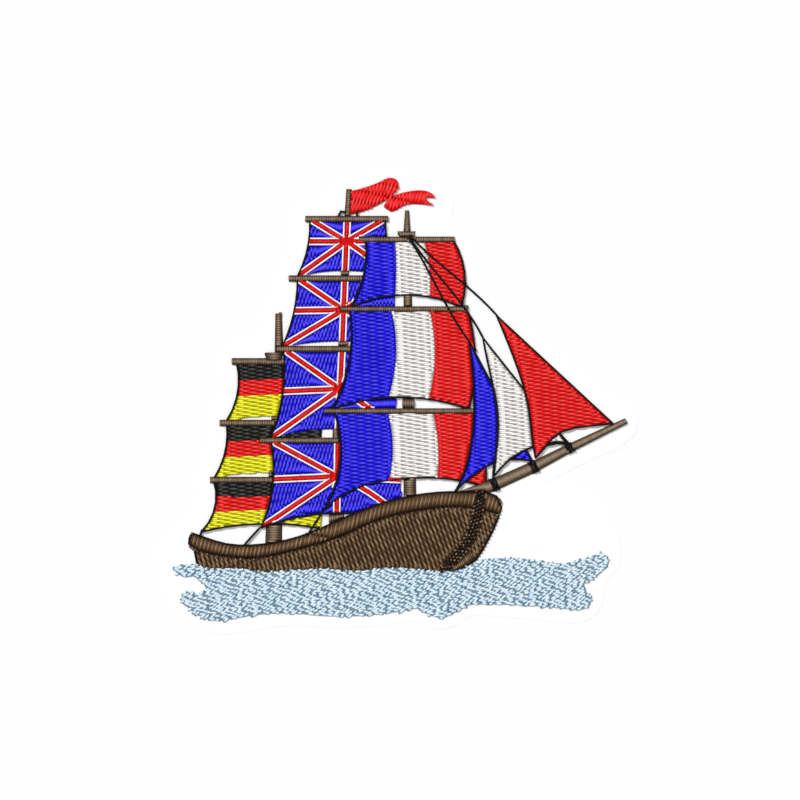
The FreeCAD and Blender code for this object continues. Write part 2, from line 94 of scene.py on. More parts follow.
# %% Wrap sockets in a class with operators
class Term:
    """A number socket in a finish. Each operator adds one Math node and gives its result."""

    def __init__(self, finish, socket):
        self.finish = finish
        self.socket = socket

    def math(self, operation, first, second=0.0):
        return self.finish.node("Math", {"operation": operation}, {0: first, 1: second})

    def __add__(self, other):
        return self.math("ADD", self, other)

    def __sub__(self, other):
        return self.math("SUBTRACT", self, other)

    def __mul__(self, other):
        return self.math("MULTIPLY", self, other)

    def __rsub__(self, other):
        return self.math("SUBTRACT", other, self)

    __radd__ = __add__
    __rmul__ = __mul__


class Finish:
    """A material's or the world's nodes, with one method that adds any node."""

    def __init__(self, owner):
        owner.use_nodes = True
        self.tree = owner.node_tree
        self.tree.nodes.clear()

    def node(self, kind, settings=(), inputs=(), output=0):
        """Adds a node, sets its settings, then fills its sockets with values or links."""
        made = self.tree.nodes.new("ShaderNode" + kind)
        for name, value in dict(settings).items():
            if name == "stops":
                for stop in range(len(value) - 2):
                    made.color_ramp.elements.new(0.5)
                for element, (place, colour) in zip(made.color_ramp.elements, value):
                    element.position = place
                    element.color = colour
            else:
                setattr(made, name, value)
        for name, value in dict(inputs).items():
            if isinstance(value, Term):
                self.tree.links.new(value.socket, made.inputs[name])
            else:
                made.inputs[name].default_value = value
        return Term(self, made.outputs[output]) if made.outputs else made


def ink(red, green, blue):
    """A screen colour of 0 to 255 as linear light: each part over 255, to about the power 2.2."""
    parts = np.array([red, green, blue]) / 255
    linear = np.where(parts <= 0.04045, parts / 12.92, ((parts + 0.055) / 1.055) ** 2.4)
    return (*linear.tolist(), 1.0)


print("white thread in linear light:", [round(part, 3) for part in ink(247, 243, 239)])


# %% [markdown]
# ## Light, background and floor
# The patch lies on a plain white sheet under soft light from the upper left. The lamp and the sky
# together give a level cloth about one unit of light, so each thread renders in the colour that is
# written for it. The white of the background is the sky's and the floor's own, by the kind of ray.
# The floor keeps a tenth of its lit shade, so that it still darkens where the patch shades it.

# %% Light the scene and lay the floor
def seen_rays(finish):
    """One where a ray comes from the camera, a gloss or a glass, and nought for diffuse light."""
    camera_ray = finish.node("LightPath", output="Is Camera Ray")
    glossy_ray = finish.node("LightPath", output="Is Glossy Ray")
    glass_ray = finish.node("LightPath", output="Is Transmission Ray")
    return finish.node(
        "Math", {"operation": "MINIMUM"}, {0: camera_ray + glossy_ray + glass_ray, 1: 1.0}
    )


SKY_LEVEL = 0.5
world = bpy.data.worlds.new("sky")
bpy.context.scene.world = world
sky = Finish(world)
lit_sky = sky.node("Background", {}, {"Color": (1, 1, 1, 1), "Strength": SKY_LEVEL})
seen_sky = sky.node("Background", {}, {"Color": (1, 1, 1, 1), "Strength": 1.0})
whole_sky = sky.node("MixShader", {}, {0: seen_rays(sky), 1: lit_sky, 2: seen_sky})
sky.node("OutputWorld", {}, {"Surface": whole_sky})

LAMP_TILT = math.radians(32)
lamp_data = bpy.data.lights.new("window", "SUN")
lamp_data.energy = 2.3
lamp_data.angle = math.radians(12)
lamp = bpy.data.objects.new("window", lamp_data)
lamp.rotation_euler = (-LAMP_TILT, -LAMP_TILT, 0)
bpy.context.scene.collection.objects.link(lamp)

OWN_WHITE = 0.9
paper = bpy.data.materials.new("white_paper")
sheet = Finish(paper)
fibres = sheet.node("TexNoise", {}, {"Scale": 180.0, "Detail": 3.0})
tint = sheet.node(
    "ValToRGB", {"stops": [(0.3, (0.90, 0.90, 0.90, 1)), (0.7, (0.93, 0.93, 0.93, 1))]}, {0: fibres}
)
lit_paper = sheet.node("BsdfDiffuse", {}, {"Color": tint})
seen_paper = sheet.node("Emission", {}, {"Color": (1, 1, 1, 1), "Strength": 1.0})
own_share = seen_rays(sheet) * OWN_WHITE
whole_paper = sheet.node("MixShader", {}, {0: own_share, 1: lit_paper, 2: seen_paper})
sheet.node("OutputMaterial", {}, {"Surface": whole_paper})

FLOOR_REACH = 3.0
FLOOR_DROP = 0.02 * MM
floor_mesh = bpy.data.meshes.new("floor")
floor_corners = [(-1, -1), (1, -1), (1, 1), (-1, 1)]
floor_mesh.from_pydata(
    [(x * FLOOR_REACH, y * FLOOR_REACH, -FLOOR_DROP) for x, y in floor_corners], [], [(0, 1, 2, 3)]
)
floor_mesh.materials.append(paper)
floor = bpy.data.objects.new("floor", floor_mesh)
bpy.context.scene.collection.objects.link(floor)
floor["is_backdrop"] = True
lamp_level = lamp_data.energy * math.cos(LAMP_TILT) ** 2 / math.pi
print("light on the floor:", round(SKY_LEVEL + lamp_level, 2))


# %% [markdown]
# ## Reading a colour field
# Each node of the frame is a flat slab of one thread colour, and its upper face has the field's
# true outline. The needle needs only that outline. Ordered loops would take some sorting, and the
# row rule further down doesn't ask for them: it needs each edge of the outline once, with the
# field on its left. An edge inside the field belongs to two triangles, and an outline edge to one.

# %% Read the top face and its outline
def top_face(name):
    """Points in mm, triangles, and outline edges of a node's highest flat face.

    A triangle is kept where its three corners lie at the highest z, and corners closer than a
    thousandth of a millimetre become one point.
    """
    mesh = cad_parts[name].data
    corners = np.zeros(len(mesh.vertices) * 3)
    mesh.vertices.foreach_get("co", corners)
    corners = corners.reshape(-1, 3) / MM
    mesh.calc_loop_triangles()
    triangles = np.zeros(len(mesh.loop_triangles) * 3, int)
    mesh.loop_triangles.foreach_get("vertices", triangles)
    triangles = triangles.reshape(-1, 3)
    height = corners[:, 2].max()
    triangles = triangles[(corners[triangles, 2] > height - 0.001).all(axis=1)]
    spots = corners[triangles.ravel(), :2]
    rounded, index = np.unique(np.round(spots, 3), axis=0, return_inverse=True)
    triangles = index.reshape(-1, 3)
    edges = np.concatenate([triangles[:, [0, 1]], triangles[:, [1, 2]], triangles[:, [2, 0]]])
    low, high = np.sort(edges, axis=1).T
    key = low * len(rounded) + high
    _, place, count = np.unique(key, return_inverse=True, return_counts=True)
    return rounded, triangles, edges[count[place] == 1], height


points, triangles, edges, height = top_face("hull_side")
print("hull side:", len(triangles), "triangles,", len(edges), "outline edges, top at", height)


# %% [markdown]
# ## Rows of stitches
# A machine fills a field with straight rows. The outline is turned until the rows lie level. Each
# row then crosses the outline an even number of times, and the thread lies between the first and
# second crossing, the third and fourth, and so on. All rows and all edges are compared in one
# array. Where a thin black line crosses a field, the fill runs on under it, as on the real one, so
# a short gap in a row is closed.

# %% Cut a field into rows
def turned(spots, degrees):
    """Points turned about the origin by an angle: the usual cosine and sine sums."""
    angle = math.radians(degrees)
    cosine, sine = math.cos(angle), math.sin(angle)
    return spots @ np.array([[cosine, sine], [-sine, cosine]])


def rows_of(segments, degrees, pitch, bridge):
    """Row number, start and end of every run of thread, in the turned field.

    A level line at half a pitch plus whole pitches meets an edge where one end is below it and
    the other isn't. The crossings of a line are sorted, and the odd ones start a run.
    """
    flat = turned(segments.reshape(-1, 2), -degrees).reshape(-1, 2, 2)
    x_from, y_from, x_to, y_to = flat[:, 0, 0], flat[:, 0, 1], flat[:, 1, 0], flat[:, 1, 1]
    first = math.floor(flat[:, :, 1].min() / pitch)
    last = math.ceil(flat[:, :, 1].max() / pitch)
    numbers = np.arange(first, last + 1)
    level = (numbers[:, None] + 0.5) * pitch
    meets = (y_from <= level) != (y_to <= level)
    rise = np.where(np.abs(y_to - y_from) < 1e-9, 1.0, y_to - y_from)
    where = np.where(meets, x_from + (x_to - x_from) * (level - y_from) / rise, np.inf)
    where = np.sort(where, axis=1)
    if where.shape[1] % 2:
        where = np.pad(where, ((0, 0), (0, 1)), constant_values=np.inf)
    starts, ends = where[:, 0::2], where[:, 1::2]
    real = np.isfinite(ends)
    row = np.broadcast_to(numbers[:, None], real.shape)[real]
    starts, ends = starts[real], ends[real]
    closed = np.zeros(len(row), bool)
    closed[1:] = (row[1:] == row[:-1]) & (starts[1:] - ends[:-1] < bridge)
    return row[~closed], starts[~closed], ends[np.roll(~closed, -1)]


row, starts, ends = rows_of(points[edges], degrees=0, pitch=0.4, bridge=0.5)
print("level rows across the hull:", len(np.unique(row)), "longest:", round(max(ends - starts), 1))


# %% [markdown]
# ## Needle points
# A row longer than one stitch is divided by needle points. They keep one distance along the row
# and move by half of it from row to row, as bricks do, and that gives the pattern of small dark
# dashes which the fields of the sails show. A satin row has no needle point between its ends.

# %% Divide rows into stitches
def stitched(row, starts, ends, length, drop, least):
    """Row number, start and end of every stitch.

    Needle points lie at whole lengths, moved on by the drop's share of a length in each next
    row, and the first and last of them keep a least distance from the ends of the run.
    """
    phase = (row * drop % 1.0) * length
    low = np.ceil((starts + least - phase) / length)
    high = np.floor((ends - least - phase) / length)
    inner = np.maximum(high - low + 1, 0).astype(int)
    owner = np.repeat(np.arange(len(row)), inner + 1)
    step = np.arange(len(owner)) - np.repeat(np.cumsum(inner + 1) - inner - 1, inner + 1)
    ahead = phase[owner] + (low[owner] + step) * length
    begin = np.where(step == 0, starts[owner], ahead - length)
    finish = np.where(step == inner[owner], ends[owner], ahead)
    return row[owner], begin, finish


# %% [markdown]
# ## The shape of a stitch
# Thread that is pulled between two needle holes swells in the middle, narrows at the holes and
# dips towards the cloth there. Its section is a low arch. So a stitch is one arch, with five
# points across, carried along the straight line of the stitch at seven stations. The same formula
# makes all stitches of a field at once. Beside each point goes a tone from dark to light: the
# sides and the ends of a stitch lie in the shade of their neighbours, and the crest catches the
# light. The sizes and tones come in one record for each kind of sewing, which is set out below.

# %% Make stitches as arches carried along lines
ALONG = np.array([0.0, 0.12, 0.3, 0.5, 0.7, 0.88, 1.0])
ACROSS = np.array([-1.0, -0.64, 0.0, 0.64, 1.0])
THREAD_DEPTH = 0.22

random = np.random.default_rng(11)


def stitch_points(begin, finish, foot, crown, chance, sewing):
    """Points, tones and thread coordinates of all stitches, as (stitch, station, across) arrays.

    Half the width is multiplied by a swell that grows from the pinch at the ends to one in the
    middle, as the square root of a half sine. The crest climbs from the foot to the crown in the
    same way, and the sides hang below it by the thread's depth, as in a half round. The tone is
    the middle shade, with a half sine of painted highlight and painted shade along the stitch,
    less the painted shade of the sides, plus chance.
    """
    span = finish - begin
    length = np.linalg.norm(span, axis=1)
    ahead = span / length[:, None]
    aside = np.stack([-ahead[:, 1], ahead[:, 0]], axis=1)
    arch = np.sqrt(1 - ACROSS**2)
    hump = np.sin(np.pi * ALONG)
    swell = sewing.pinch + (1 - sewing.pinch) * hump**0.5
    along = begin[:, None, None] + span[:, None, None] * ALONG[:, None, None]
    offset = 0.5 * sewing.width * swell[:, None] * ACROSS
    flat = along + aside[:, None, None] * offset[None, :, :, None]
    crest = foot + (crown - foot) * hump**0.5
    height = crest[:, None] - THREAD_DEPTH * (1 - arch)
    height = np.broadcast_to(height, flat.shape[:3])
    middle, swing, side_shade = sewing.shades
    # Painted light along the stitch: a painted highlight on the crest and painted shade at the
    # ends.
    painted_light_along = hump**sewing.ends - 0.5
    tone = middle + swing * painted_light_along[:, None] - side_shade * (1 - arch) + chance[:, None, None]
    thread_along = length[:, None, None] * ALONG[:, None]
    strand = np.stack(np.broadcast_arrays(thread_along, ACROSS * sewing.width), axis=-1)
    return np.concatenate([flat, height[..., None]], axis=-1), tone, strand


def stitch_faces(count):
    """Quads round and along each stitch, and triangles that close its two ends.

    Point numbers grow by one across the arch and by five along the stitch. The last point across
    joins the first, which closes the underside.
    """
    across, stations = len(ACROSS), len(ALONG)
    here = np.arange(across)
    beside = (here + 1) % across
    ring = np.stack([here, here + across, beside + across, beside], axis=1)
    quads = ring[None] + across * np.arange(stations - 1)[:, None, None]
    fan = np.array([(0, turn, turn + 1) for turn in range(1, across - 1)])
    caps = np.concatenate([fan, fan[:, ::-1] + across * (stations - 1)])
    shift = across * stations * np.arange(count)[:, None, None]
    return (quads.reshape(-1, 4) + shift).reshape(-1, 4), (caps + shift).reshape(-1, 3)


print("triangles in one stitch:", 2 * len(stitch_faces(1)[0]) + len(stitch_faces(1)[1]))


# %% [markdown]
# ## The ground under the stitches
# Between two stitches one sees the thread below: underlay stitches of the same colour, in shade.
# A thin dark slab in the outline of the field stands for them. It also closes the field where rows
# end, so that no white cloth glints through.

# %% Make the underlay slab
def underlay(points, triangles, edges, low, high):
    """Points and faces of a flat slab: the top face, its copy below turned over, and a wall.

    A wall quad goes along an outline edge at the foot and back at the top.
    """
    count = len(points)
    upper = np.column_stack([points, np.full(count, high)])
    lower = np.column_stack([points, np.full(count, low)])
    faces = np.concatenate([triangles, triangles[:, ::-1] + count])
    start, end = edges.T
    wall = np.stack([start + count, end + count, end, start], axis=1)
    return np.concatenate([upper, lower]), faces, wall


# %% [markdown]
# ## From arrays to a mesh
# Blender takes whole arrays for points, corners and faces. The tone is kept as one number on each
# point, and the place on the thread as a UV map, in millimetres along and across.

# %% Put arrays into a mesh
def mesh_piece(name, points, quads, triangles, rounded, tones, strands):
    """A mesh object in metres from arrays in millimetres, with its tones and thread coordinates.

    Faces whose flag is set are shaded as round, and the others as flat.
    """
    mesh = bpy.data.meshes.new(name)
    mesh.vertices.add(len(points))
    mesh.vertices.foreach_set("co", (points * MM).astype(np.float32).ravel())
    corners = np.concatenate([quads.ravel(), triangles.ravel()]).astype(np.int32)
    sizes = np.concatenate([np.full(len(quads), 4), np.full(len(triangles), 3)]).astype(np.int32)
    mesh.loops.add(len(corners))
    mesh.loops.foreach_set("vertex_index", corners)
    mesh.polygons.add(len(sizes))
    mesh.polygons.foreach_set("loop_start", (np.cumsum(sizes) - sizes).astype(np.int32))
    mesh.polygons.foreach_set("loop_total", sizes)
    mesh.polygons.foreach_set("use_smooth", rounded)
    mesh.update(calc_edges=True)
    mesh.validate()
    tone = mesh.attributes.new("tone", "FLOAT", "POINT")
    tone.data.foreach_set("value", tones.astype(np.float32))
    strand = mesh.uv_layers.new(name="strand")
    strand.data.foreach_set("uv", strands[corners].astype(np.float32).ravel())
    piece = bpy.data.objects.new(name, mesh)
    bpy.context.scene.collection.objects.link(piece)
    return piece


# %% [markdown]
# ## Thread finish
# Embroidery thread is two strands of shiny fibre twisted together. Its colour is painted from
# nearly black in the gaps, a painted shade, to a bright crest, a painted highlight, so three
# colours are set on a ramp that reads the tone. The twist is a fine slanting wave in thread
# coordinates, as a bump, and it is too fine to be built. A soft noise keeps the gloss from being
# even, and a little sheen stands for the fibres' fuzz.

# %% Mix the thread colours
TWIST_ALONG = 11.0  # radians of the wave in each millimetre of thread
TWIST_ACROSS = 16.0


def thread_finish(name, dark, middle, light, gloss):
    """A thread's material: the ramp reads the tone, and the bump is a slanting sine."""
    material = bpy.data.materials.new(name)
    finish = Finish(material)
    tone = finish.node("Attribute", {"attribute_name": "tone"}, output="Fac")
    # The dark stop is painted shade and the light stop a painted highlight; the middle stop is the
    # thread's own colour.
    stops = [(0.0, ink(*dark)), (0.5, ink(*middle)), (1.0, ink(*light))]
    colour = finish.node("ValToRGB", {"stops": stops}, {0: tone})
    strand = finish.node("UVMap", {"uv_map": "strand"})
    along = finish.node("SeparateXYZ", {}, {0: strand}, output="X")
    across = finish.node("SeparateXYZ", {}, {0: strand}, output="Y")
    turn = along * TWIST_ALONG + across * TWIST_ACROSS
    wave = finish.node("Math", {"operation": "SINE"}, {0: turn})
    twist = finish.node("Bump", {}, {"Strength": 0.35, "Distance": 0.03 * MM, "Height": wave})
    place = finish.node("TexCoord", output="Object")
    fuzz = finish.node("TexNoise", {}, {"Vector": place, "Scale": 900.0, "Detail": 2.0})
    surface = finish.node(
        "BsdfPrincipled",
        {},
        {
            "Base Color": colour,
            "Roughness": 0.62 - gloss * 0.3 + 0.16 * fuzz,
            "Normal": twist,
            "Specular IOR Level": 0.1,
            "Sheen Weight": 0.03,
            "Sheen Roughness": 0.5,
        },
    )
    finish.node("OutputMaterial", {}, {"Surface": surface})
    return material


# For each thread: its painted shade, its own colour, its painted highlight, and its gloss.
THREADS = {
    "white_thread": thread_finish(
        "white_thread", (120, 116, 112), (247, 243, 239), (255, 255, 255), 0.5
    ),
    "blue_thread": thread_finish("blue_thread", (0, 0, 120), (16, 4, 230), (92, 82, 255), 0.7),
    "red_thread": thread_finish("red_thread", (158, 0, 0), (236, 8, 12), (255, 84, 80), 0.7),
    "yellow_thread": thread_finish(
        "yellow_thread", (132, 126, 0), (236, 231, 0), (255, 255, 92), 0.6
    ),
    "black_thread": thread_finish("black_thread", (0, 0, 0), (12, 11, 10), (86, 84, 82), 0.6),
    "spar_brown_thread": thread_finish(
        "spar_brown_thread", (36, 26, 16), (104, 84, 66), (176, 154, 130), 0.5
    ),
    "hull_brown_thread": thread_finish(
        "hull_brown_thread", (28, 12, 2), (88, 62, 38), (176, 146, 114), 0.5
    ),
    "pale_blue_thread": thread_finish(
        "pale_blue_thread", (44, 74, 100), (196, 224, 242), (240, 253, 255), 0.4
    ),
}
print("thread colours:", len(THREADS))


# %% [markdown]
# ## Sewing one field
# With these parts, a field is sewn in one call: read the outline, cut the rows, divide them, shape
# the stitches, and lay the slab under them. What differs from field to field is the thread and
# the kind of sewing. A kind is one record of distances in millimetres, angles in degrees and tones
# from 0, dark, to 1, light. Every other kind is the plain fill with some values replaced. Satin,
# for one, has no needle points within a row, and it keeps nearly its whole width at the ends.

# %% Sew a field
CLOTH_TOP = 0.5
Sewing = namedtuple(
    "Sewing",
    "angle pitch length drop reach width pinch foot lift bed shades ends spread beat tilt sway "
    "fray under",
)

FILL = Sewing(
    angle=2.8,  # of the rows, from the x axis
    pitch=0.3886,  # from row to row
    length=3.25,  # between needle points
    drop=0.5,  # share of a length by which needle points move from row to row
    reach=0.1,  # of a row past the outline
    width=0.5,  # of a stitch, which is more than the pitch, so that neighbours overlap
    pinch=0.34,  # share of the width that the ends keep
    foot=0.22,  # height of the ends over the cloth
    lift=0.0,  # height of the middle over the frame's field
    bed=0.2,  # thickness of the slab under the stitches
    # The swing along the stitch is a painted highlight in the middle and painted shade at the ends,
    # and the shade of the sides is painted too.
    shades=(0.6, 0.7, 0.42),  # middle tone, swing along the stitch, shade of its sides
    # The darkened ends are painted shade.
    ends=2.0,  # power that darkens the ends: more makes them longer
    spread=0.14,  # of the tone by chance, from stitch to stitch
    beat=0.0,  # of the tone by turns, from row to row
    tilt=-3.0,  # of a stitch from its row
    sway=0.8,  # of a stitch by chance, either way
    fray=0.0,  # of needle points by chance
    # The slab's tone is a painted shade of the thread below.
    under=0.1,  # tone of the slab
)
SATIN = FILL._replace(
    angle=0.0,
    pitch=0.474,
    length=60.0,
    reach=0.0,
    width=0.54,
    pinch=0.8,
    foot=0.1,
    bed=0.1,
    shades=(0.5, 0.6, 0.2),
    spread=0.16,
    tilt=0.0,
)


stitch_counts = {}


def sewn_piece(name, thread, begin, finish, row, sewing, field, part=""):
    """One piece of a node: its stitches and its underlay in one mesh, dressed and placed.

    A stitch is lighter or darker by chance, and by turns from row to row. The part is added to
    the name where one node has two pieces.
    """
    points, triangles, edges, height = field
    foot = CLOTH_TOP + sewing.foot
    crown = height + sewing.lift
    chance = sewing.spread * (random.random(len(begin)) - 0.5) + sewing.beat * (row % 2 - 0.5)
    dots, tones, strands = stitch_points(begin, finish, foot, crown, chance, sewing)
    quads, caps = stitch_faces(len(begin))
    # The slab under the stitches carries the painted shade of the thread below.
    bed, bed_faces, wall = underlay(points, triangles, edges, CLOTH_TOP, CLOTH_TOP + sewing.bed)
    shift = dots.size // 3
    piece = mesh_piece(
        f"{name}{part}_stitches",
        np.concatenate([dots.reshape(-1, 3), bed]),
        np.concatenate([quads, wall + shift]),
        np.concatenate([caps, bed_faces + shift]),
        np.repeat([True, False, True, False], [len(quads), len(wall), len(caps), len(bed_faces)]),
        np.concatenate([tones.ravel(), np.full(len(bed), sewing.under)]),
        np.concatenate([strands.reshape(-1, 2), np.zeros((len(bed), 2))]),
    )
    piece.data.materials.append(THREADS[thread])
    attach(piece, "root")
    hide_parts(name)
    stitch_counts[piece.name] = len(begin)


SHORTEST_STITCH = 0.12
RUN_FRAY = 0.3
STITCH_FRAY = 0.08


def fill_lines(segments, sewing, bridge=0.5):
    """Both ends and the row of every stitch of a filled field, turned back to its own place.

    Chance adds to a run at both ends, then moves each stitch along its row and turns it about
    its middle. Where needle points fray, stitches are a little longer, so that they overlap.
    """
    row, starts, ends = rows_of(segments, sewing.angle, sewing.pitch, bridge)
    starts = starts - sewing.reach - RUN_FRAY * sewing.fray * random.random(len(row))
    ends = ends + sewing.reach + RUN_FRAY * sewing.fray * random.random(len(row))
    row, starts, ends = stitched(row, starts, ends, sewing.length, sewing.drop, least=0.6)
    sound = ends - starts > SHORTEST_STITCH
    row, starts, ends = row[sound], starts[sound], ends[sound]
    level = (row + 0.5) * sewing.pitch
    middle = (starts + ends) / 2 + sewing.fray * (random.random(len(row)) - 0.5)
    half = (ends - starts) / 2 + STITCH_FRAY * sewing.fray
    lean = np.radians(sewing.tilt + sewing.sway * (random.random(len(row)) * 2 - 1))
    reach = np.stack([half * np.cos(lean), half * np.sin(lean)], axis=1)
    centre = np.stack([middle, level], axis=1)
    return turned(centre - reach, sewing.angle), turned(centre + reach, sewing.angle), row


def fill_field(name, thread, sewing):
    """A field filled by rows at one angle."""
    points, triangles, edges, height = field = top_face(name)
    begin, finish, row = fill_lines(points[edges], sewing)
    sewn_piece(name, thread, begin, finish, row, sewing, field)


# %% [markdown]
# ## Sails
# The banded sails of the first and last mast and the three jibs share one fill, whose rows climb
# slightly to the right. So they differ only in their threads, and a short table names those. The
# blue of the middle mast is sewn upright. Its stitches lean more and carry darker painted shade at
# their ends and sides, which shows as upright stripes.

# %% Sew the sails
BANDED_SAILS = ["mizzen_topgallant", "mizzen_topsail", "mizzen_course"]
BANDED_SAILS += ["fore_topgallant", "fore_topsail", "fore_course"]
BANDS = {
    "mizzen": (("black", "black_thread"), ("red", "red_thread"), ("yellow", "yellow_thread")),
    "fore": (("blue", "blue_thread"), ("white", "white_thread"), ("red", "red_thread")),
}
for sail in BANDED_SAILS:
    for colour, thread in BANDS[sail.split("_")[0]]:
        fill_field(f"{sail}_{colour}", thread, FILL)

JIBS = [("inner_jib", "blue_thread"), ("middle_jib", "white_thread"), ("outer_jib", "red_thread")]
for jib, thread in JIBS:
    fill_field(jib, thread, FILL)

MAIN_FILL = FILL._replace(
    angle=90.0, pitch=0.365, length=3.22, shades=(0.58, 1.2, 0.6), tilt=-8.0
)
MAIN_SAILS = ("main_royal", "main_topgallant", "main_topsail", "main_course")
for sail in MAIN_SAILS:
    fill_field(f"{sail}_blue", "blue_thread", MAIN_FILL)
print("stitches in the sails:", sum(stitch_counts.values()))


# %% [markdown]
# ## Spars and pennant
# Masts, yards and the bowsprit are satin: one stitch from edge to edge, close beside the next, and
# high in the middle, with a painted highlight there and painted shade at the spar's edges, so a
# spar looks round. The rows lie across the spar. A mast's cross-trees are a separate strip in the
# same node, so the rows are chosen for each strip by its longer side. The bowsprit slopes, so its
# angle is given. The pennant is a fill with steep, close rows.

# %% Sew the spars
def strips_of(points, triangles, edges):
    """The outline segments of each separate strip of a field.

    Every point takes the lowest number found among its triangle's corners until none changes,
    so that all points of one strip share a number.
    """
    label = np.arange(len(points))
    while True:
        lowest = label[triangles].min(axis=1)
        fresh = label.copy()
        np.minimum.at(fresh, triangles.ravel(), np.repeat(lowest, 3))
        if (fresh == label).all():
            break
        label = fresh
    return [points[edges[label[edges[:, 0]] == strip]] for strip in np.unique(label)]


def satin_field(name, thread, sewing, angle=None):
    """A field of satin: rows across each strip, or at a given angle."""
    field = top_face(name)
    parts = []
    for segments in strips_of(*field[:3]):
        wide, tall = np.ptp(segments.reshape(-1, 2), axis=0)
        turn = (90.0 if wide > tall else 0.0) if angle is None else angle
        parts.append(fill_lines(segments, sewing._replace(angle=turn), bridge=0.0))
    begin, finish, row = (np.concatenate(part) for part in zip(*parts))
    sewn_piece(name, thread, begin, finish, row, sewing, field)


SPARS = ["mizzen_mast", "main_mast", "fore_mast"]
SPARS += [f"mizzen_yard_{number}" for number in (1, 2, 3)]
SPARS += [f"main_yard_{number}" for number in (1, 2, 3, 4)]
SPARS += [f"fore_yard_{number}" for number in (1, 2, 3)]
for spar in SPARS:
    satin_field(spar, "spar_brown_thread", SATIN)
BOWSPRIT = SATIN._replace(pitch=0.36, shades=(0.5, 0.7, 0.05), spread=0.1)
satin_field("bowsprit", "spar_brown_thread", BOWSPRIT, 114.0)
PENNANT = FILL._replace(
    angle=77.0, pitch=0.337, length=4.6, shades=(0.58, 0.45, 0.15), spread=0.2, beat=0.18, under=0.3
)
fill_field("pennant", "red_thread", PENNANT)
print("stitches with the spars:", sum(stitch_counts.values()))


# %% [markdown]
# ## Hull
# The hull's side is filled with long slanting stitches, and a strong painted shade on their sides
# shows as narrow dark gaps. The rail above it is satin across the rail, with rows that are lighter
# and darker by turns. The lashings of the bowsprit are black stitches sewn over themselves at two
# crossing angles.

# %% Sew the hull
HULL_FILL = FILL._replace(
    angle=125.5,
    pitch=0.438,
    length=3.13,
    reach=0.2,
    shades=(0.56, 0.6, 0.6),
    spread=0.25,
    tilt=-7.0,
)
fill_field("hull_side", "hull_brown_thread", HULL_FILL)
RAIL = SATIN._replace(pitch=0.387, reach=0.15, shades=(0.55, 0.3, 0.5), beat=0.22)
satin_field("hull_rail", "hull_brown_thread", RAIL, 77.0)


def crossed_field(name, thread, sewing, angles):
    """A field sewn over itself at several angles."""
    points, triangles, edges, height = field = top_face(name)
    parts = [fill_lines(points[edges], sewing._replace(angle=angle)) for angle in angles]
    begin, finish, row = (np.concatenate(part) for part in zip(*parts))
    sewn_piece(name, thread, begin, finish, row, sewing, field)


CROSSED = SATIN._replace(
    pitch=0.5, length=2.2, width=0.42, shades=(0.4, 0.4, 0.3), spread=0.3, sway=9.0
)
crossed_field("bowsprit_lashings", "black_thread", CROSSED, (70.0, 110.0))
print("stitches with the hull:", sum(stitch_counts.values()))


# %% [markdown]
# ## Water
# The water is sewn in very short stitches that lie unevenly, and on the whole they climb to the
# right. The needle points move by other than half a length and stray by chance, so no brick
# pattern forms. The ends are sharp and carry a dark painted shade, and they show as spots.

# %% Sew the water
WATER_FILL = FILL._replace(
    angle=14.0,
    pitch=0.374,
    length=1.4,
    drop=0.62,
    reach=0.0,
    pinch=0.25,
    shades=(0.32, 1.15, 0.05),
    ends=1.0,
    spread=0.3,
    tilt=0.0,
    sway=30.0,
    fray=0.8,
    under=0.16,
)
fill_field("water", "pale_blue_thread", WATER_FILL)
print("stitches with the water:", sum(stitch_counts.values()))


# %% [markdown]
# ## Lines and crosses
# An outline is running stitch: single threads, one after another along the edge. A line's field is
# a narrow strip, and each of its straight stretches has two long sides that run opposite ways. The
# side that runs to the right is taken, moved inwards by half the strip's width, and sewn as one
# stitch, or on the hull as a row of short ones with gaps. The stem band is wide enough for brown
# and black lines side by side, and every second line starts half a stitch late, as in a braid. The
# red arms of the crosses are satin, set across the same long sides.

# %% Sew the lines
def long_sides(field, shortest):
    """Start, end and inward direction of each long outline edge that runs to the right.

    An edge that is upright to within 0.02 mm counts where it runs upwards.
    """
    points, triangles, edges, height = field
    segments = points[edges]
    span = segments[:, 1] - segments[:, 0]
    length = np.linalg.norm(span, axis=1)
    rightward = (span[:, 0] > 0.02) | ((np.abs(span[:, 0]) <= 0.02) & (span[:, 1] > 0))
    chosen = segments[rightward & (length > shortest)]
    ahead = chosen[:, 1] - chosen[:, 0]
    ahead = ahead / np.linalg.norm(ahead, axis=1)[:, None]
    return chosen[:, 0], chosen[:, 1], np.stack([-ahead[:, 1], ahead[:, 0]], axis=1)


def divided(start, end, longest, gap, late=0.0):
    """Straight stretches cut into equal stitches with gaps, none longer than the longest.

    A late line starts by that part of a stitch after the others.
    """
    count = np.ceil(np.linalg.norm(end - start, axis=1) / longest).astype(int)
    owner = np.repeat(np.arange(len(start)), count)
    step = np.arange(len(owner)) - np.repeat(np.cumsum(count) - count, count)
    part = (end - start)[owner] / count[owner, None]
    begin = start[owner] + part * (step[:, None] + late)
    return begin, begin + part * (1 - gap)


def line_field(name, thread, strip, sewing, longest=9.0, gap=0.0):
    """A field of running stitch along the middle of its strip."""
    field = top_face(name)
    start, end, inward = long_sides(field, shortest=0.45)
    shift = inward * strip / 2
    more = sewing.reach * (end - start) / np.linalg.norm(end - start, axis=1)[:, None]
    begin, finish = divided(start + shift - more, end + shift + more, longest, gap)
    sewn_piece(name, thread, begin, finish, np.arange(len(begin)), sewing, field)


FOOT_SLANT = 0.8


